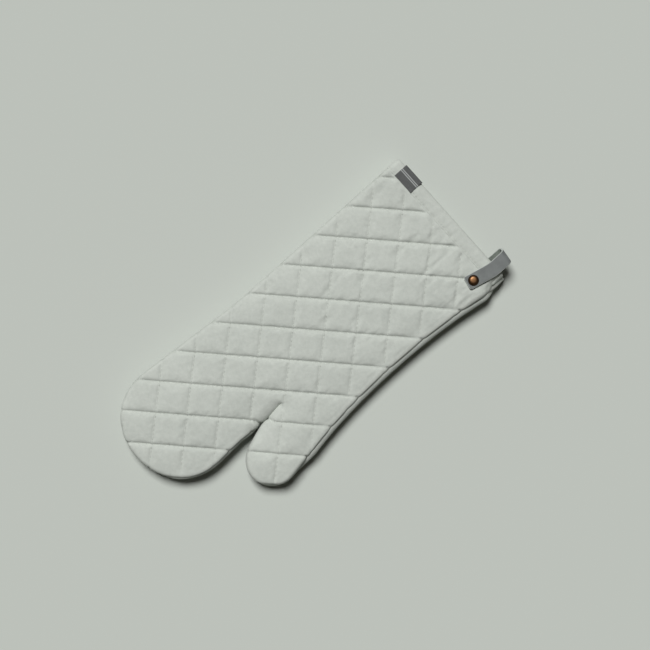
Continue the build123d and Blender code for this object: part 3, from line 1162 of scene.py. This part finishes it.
# the rivet's cap, as its profile from the middle of the dome to the middle of its underside
cap = {
    "profile": [
        (0.0, 2.5), (2.2, 2.45), (3.4, 2.16), (4.2, 1.58), (4.75, 1.0), (4.95, 0.72), (5.2, 0.62),
        (5.3, 0.4), (5.25, 0.1), (5.0, 0.0), (2.1, 0.0), (2.05, 0.1), (2.05, 1.3), (0.0, 1.3),
    ],
    "steps": 48,
    "wornScale": 700.0,
    "scratchScale": 3200.0,
    "rimShade": (2.8, 5.2),  # from the middle; painted shade where the dome turns down to its rim
    # the rim's near-black copper is painted shade round the dome's edge
    "rim": (0.06, 0.033, 0.02, 1),
    "crown": (0.19, 0.1, 0.048, 1),
}


def copperMaterial():
    material, wire = newMaterial("antiqueCopper")
    coords = objectCoords(wire)
    parts = axes(wire, coords, middle=rivet)
    radius = wire.math("SQRT", parts[0] * parts[0] + parts[1] * parts[1])
    worn = fuzz(wire, coords, cap["wornScale"], 3.0, 0.6)
    scratch = fuzz(wire, coords, cap["scratchScale"], 2.0, 0.7)
    # darker towards the rim as painted shade round the dome's edge; the wear noise wobbles where it starts
    dark = spread(wire, radius + (worn - 0.5) * 0.0012, *(edge * mm for edge in cap["rimShade"]))
    finishMaterial(wire, {
        "Base Color": mixColour(wire, dark, cap["crown"], cap["rim"]),
        "Metallic": 1.0,
        "Roughness": 0.38 + worn * 0.14,
        "Normal": bumped(wire, 0.25, scratch * 0.00004 + worn * 0.0001),
    })
    return material


def makeRivetCap():
    bm = bmesh.new()
    points = [bm.verts.new(rivet + Vector((radius, 0, z)) * mm) for radius, z in cap["profile"]]
    edges = [bm.edges.new(pair) for pair in zip(points, points[1:])]
    bmesh.ops.spin(
        bm, geom=points + edges, cent=rivet, axis=up, angle=2 * pi, steps=cap["steps"], use_merge=True)
    bmesh.ops.remove_doubles(bm, verts=bm.verts, dist=1e-6)
    bmesh.ops.recalc_face_normals(bm, faces=bm.faces)
    copper = copperMaterial()
    piece = makePiece("copper_cap", bm, copper, "mitt")
    smooth = piece.modifiers.new("smooth", "SUBSURF")
    smooth.levels = 1
    smooth.render_levels = 1
    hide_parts("rivet_cap")
    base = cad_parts["rivet_base"].data
    base.materials.clear()
    base.materials.append(copper)
    print("rivet: faces", len(piece.data.polygons))


makeRivetCap()

view = {
    "target": (0.0029, -0.023, 0.02),
    "width": 0.627,
    "right": (-0.667, -0.745, 0.0),
    "up": (0.745, -0.667, 0.0),
    "lens": 85.0,
}
light = {
    "towards": (0.441, -0.161, 0.883),
    "softness": 24.0,
    "strength": 3.41,
    "sky": 0.04,
    "skyColour": (1.0, 0.92, 0.82, 1),
}
ground = {
    "size": 40.0,
    "colour": (0.505, 0.535, 0.495, 1),
}


def addStage():
    bm = bmesh.new()
    bmesh.ops.create_grid(bm, x_segments=1, y_segments=1, size=ground["size"])
    mesh = bpy.data.meshes.new("floor")
    bm.to_mesh(mesh)
    bm.free()
    floor = bpy.data.objects.new("floor", mesh)
    bpy.context.scene.collection.objects.link(floor)
    material, wire = newMaterial("paleFloor")
    finishMaterial(wire, {"Base Color": ground["colour"], "Roughness": 0.95, "Specular IOR Level": 0.1})
    mesh.materials.append(material)


def addCamera():
    data = bpy.data.cameras.new("camera")
    data.lens = view["lens"]
    camera = bpy.data.objects.new("camera", data)
    away = view["width"] * view["lens"] / data.sensor_width
    matrix = Matrix.Identity(4)
    matrix.col[0].xyz = view["right"]
    matrix.col[1].xyz = view["up"]
    matrix.col[3].xyz = Vector(view["target"]) + up * away
    camera.matrix_world = matrix
    bpy.context.scene.collection.objects.link(camera)
    bpy.context.scene.camera = camera


def addLights():
    data = bpy.data.lights.new("window", "SUN")
    data.angle = radians(light["softness"])
    data.energy = light["strength"]
    lamp = bpy.data.objects.new("window", data)
    lamp.rotation_euler = Vector(light["towards"]).to_track_quat("Z", "Y").to_euler()
    bpy.context.scene.collection.objects.link(lamp)
    world = bpy.data.worlds.new("sky")
    bpy.context.scene.world = world
    world.use_nodes = True
    world.node_tree.nodes.clear()
    wire = Wire(world.node_tree)
    sky = wire.node("Background", None, {"Color": light["skyColour"], "Strength": light["sky"]})
    pale = wire.node("Background", None, {"Color": ground["colour"], "Strength": 1.0})
    seen = wire.node("LightPath")  # the camera sees the floor's colour past its edge, and no sky
    wire.node("OutputWorld", None, {"Surface": wire.node("MixShader", None, {0: seen, 1: sky, 2: pale})})


addStage()
addCamera()
addLights()
bpy.context.scene.view_settings.view_transform = "Standard"
print("stage, camera and light")
